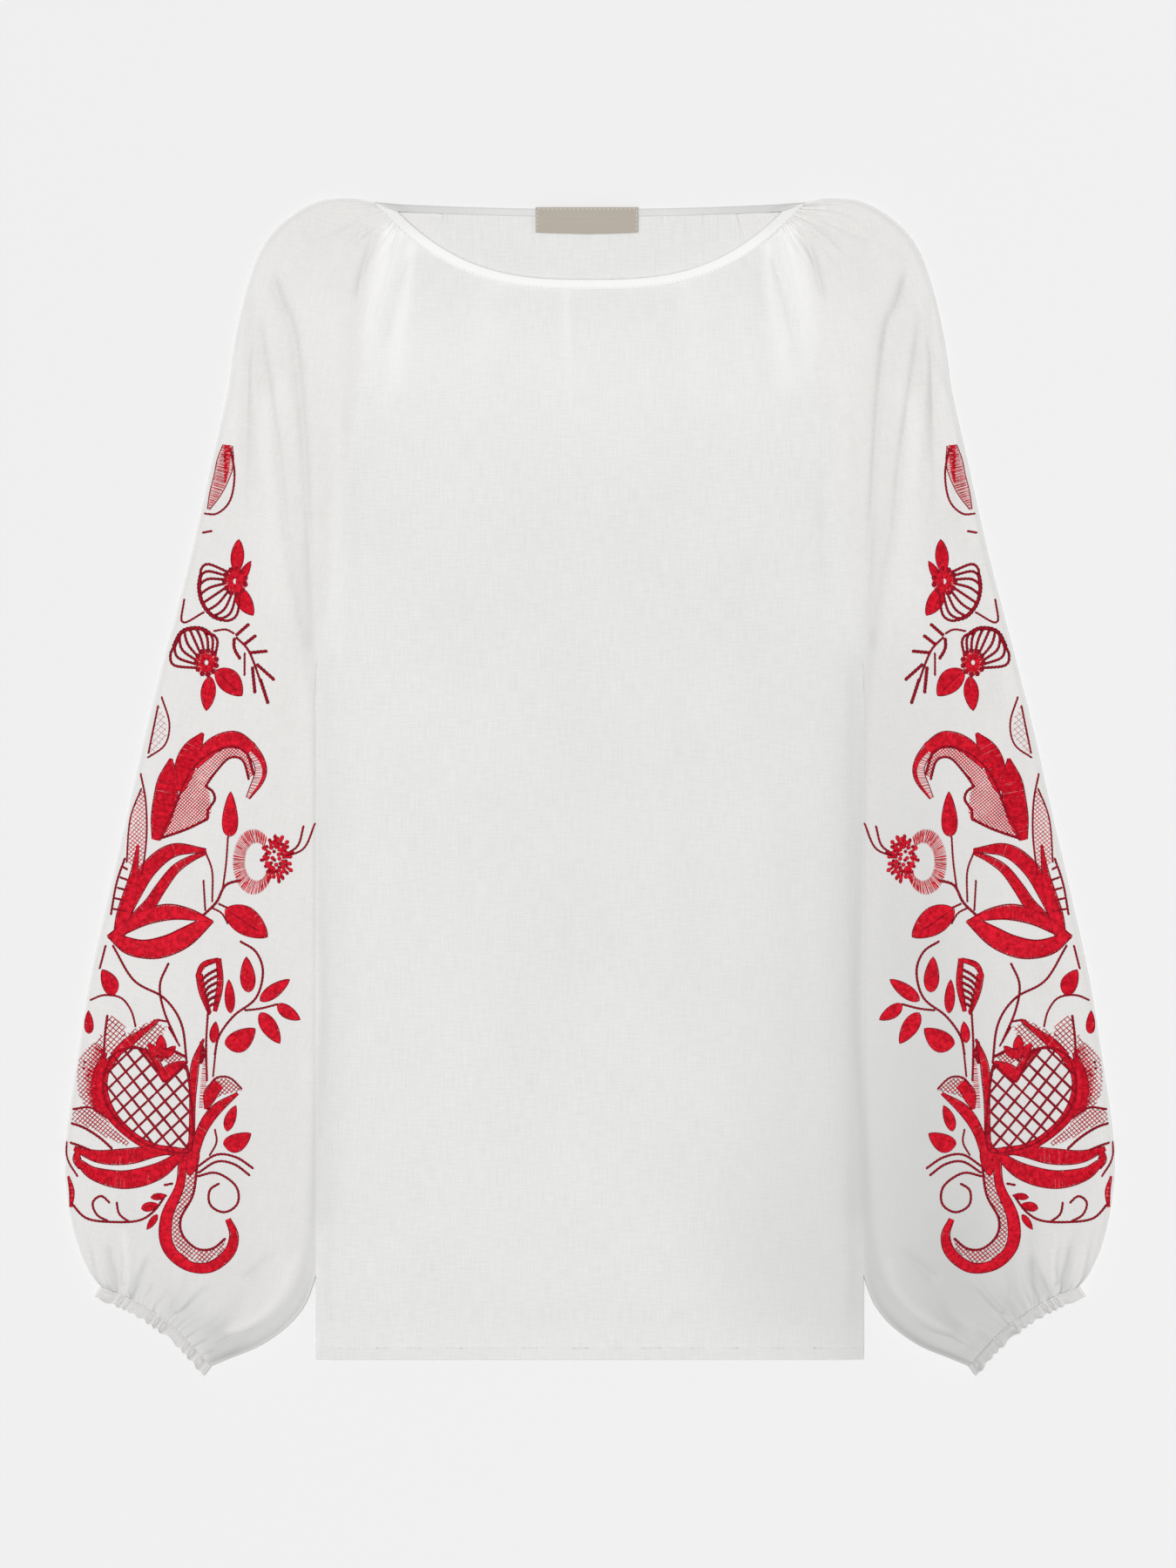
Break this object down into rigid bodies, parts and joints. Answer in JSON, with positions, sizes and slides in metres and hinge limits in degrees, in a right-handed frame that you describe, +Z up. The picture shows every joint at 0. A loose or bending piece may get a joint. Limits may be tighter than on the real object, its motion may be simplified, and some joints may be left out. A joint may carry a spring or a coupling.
{
  "type": "embroidered folk shirt laid flat",
  "caption": "White linen folk blouse laid flat, with a wide bound neck, raglan sleeves gathered at neck and cuff, and red floral embroidery along the sleeves",
  "frame": {"origin": "on the surface that the shirt rests on, under the middle of its outline", "axes": "+Y from the hem to the neck, +Z up out of the front, +X to the wearer's left"},
  "size_m": [0.6256, 0.7021, 0.0047],
  "materials": {
    "linen": "matt plain-weave linen, slightly sheer",
    "casing_linen": "matt plain-weave linen, drawn in by elastic",
    "binding_linen": "matt bias-cut linen strip, pressed",
    "label_tape": "satin-woven tape, bare",
    "embroidery_thread": "red stranded cotton with a soft sheen"
  },
  "bodies": {
    "root": {"back_panel": "linen", "front_panel": "linen", "sleeve_left": "linen", "sleeve_right": "linen", "cuff_casing_left": "casing_linen", "cuff_casing_right": "casing_linen", "neck_binding": "binding_linen", "neck_label": "label_tape"}
  },
  "joints": []
}
